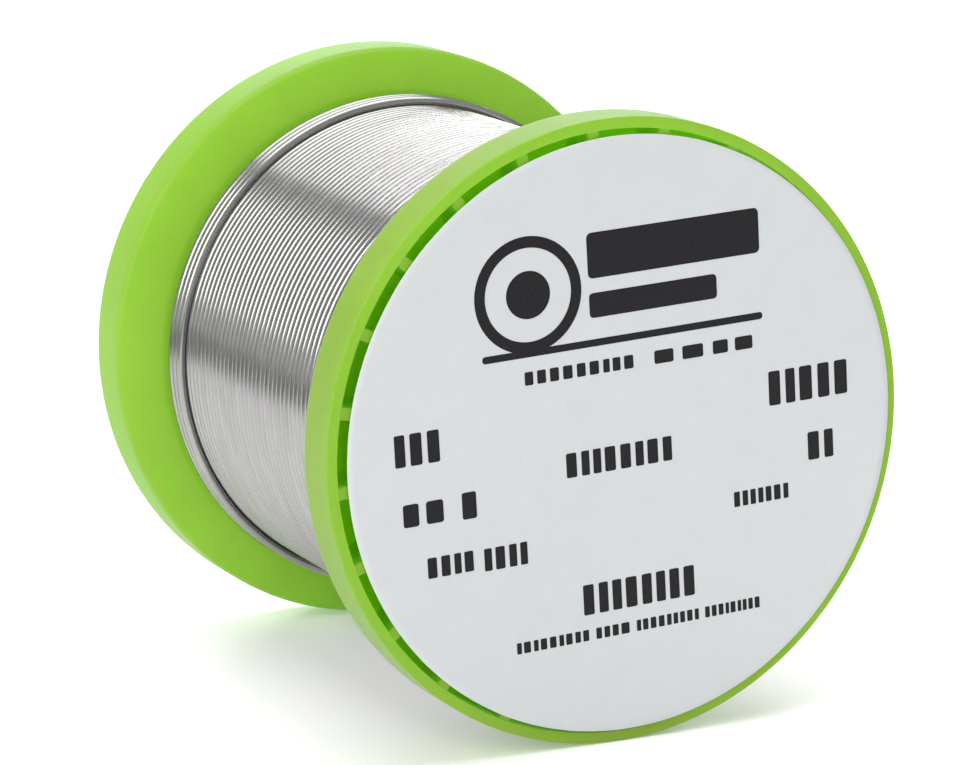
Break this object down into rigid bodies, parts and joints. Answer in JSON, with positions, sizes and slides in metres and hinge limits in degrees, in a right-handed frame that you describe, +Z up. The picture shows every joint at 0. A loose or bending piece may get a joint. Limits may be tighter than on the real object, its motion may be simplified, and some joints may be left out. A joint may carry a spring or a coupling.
{
  "type": "solder wire spool",
  "caption": "Spool of flux-cored solder wire: two ribbed green plastic flanges on a hollow drum, wound with even turns of wire, with a round paper label on one end.",
  "frame": {"origin": "centre of the bounding box: on the spool's axis, half way between the label's face and the rear rim's face", "axes": "+Y along the spool's axis, from the labelled end towards the rear end; +Z up with the spool lying on both rims; +X completes the frame"},
  "size_m": [0.061, 0.0594, 0.061],
  "materials": {
    "green_plastic": "satin",
    "label_paper": "matte",
    "solder": "satin"
  },
  "bodies": {
    "root": {"front_flange": "green_plastic", "rear_flange": "green_plastic", "drum": "green_plastic", "spindle_tube": "green_plastic", "front_label": "label_paper", "wire_top_turns": "solder", "wire_first_end": "solder", "wire_layer_1": "solder", "wire_layer_2": "solder", "wire_layer_3": "solder", "wire_layer_4": "solder", "wire_layer_5": "solder", "wire_layer_6": "solder", "wire_layer_7": "solder", "wire_layer_8": "solder", "wire_layer_9": "solder"}
  },
  "joints": []
}
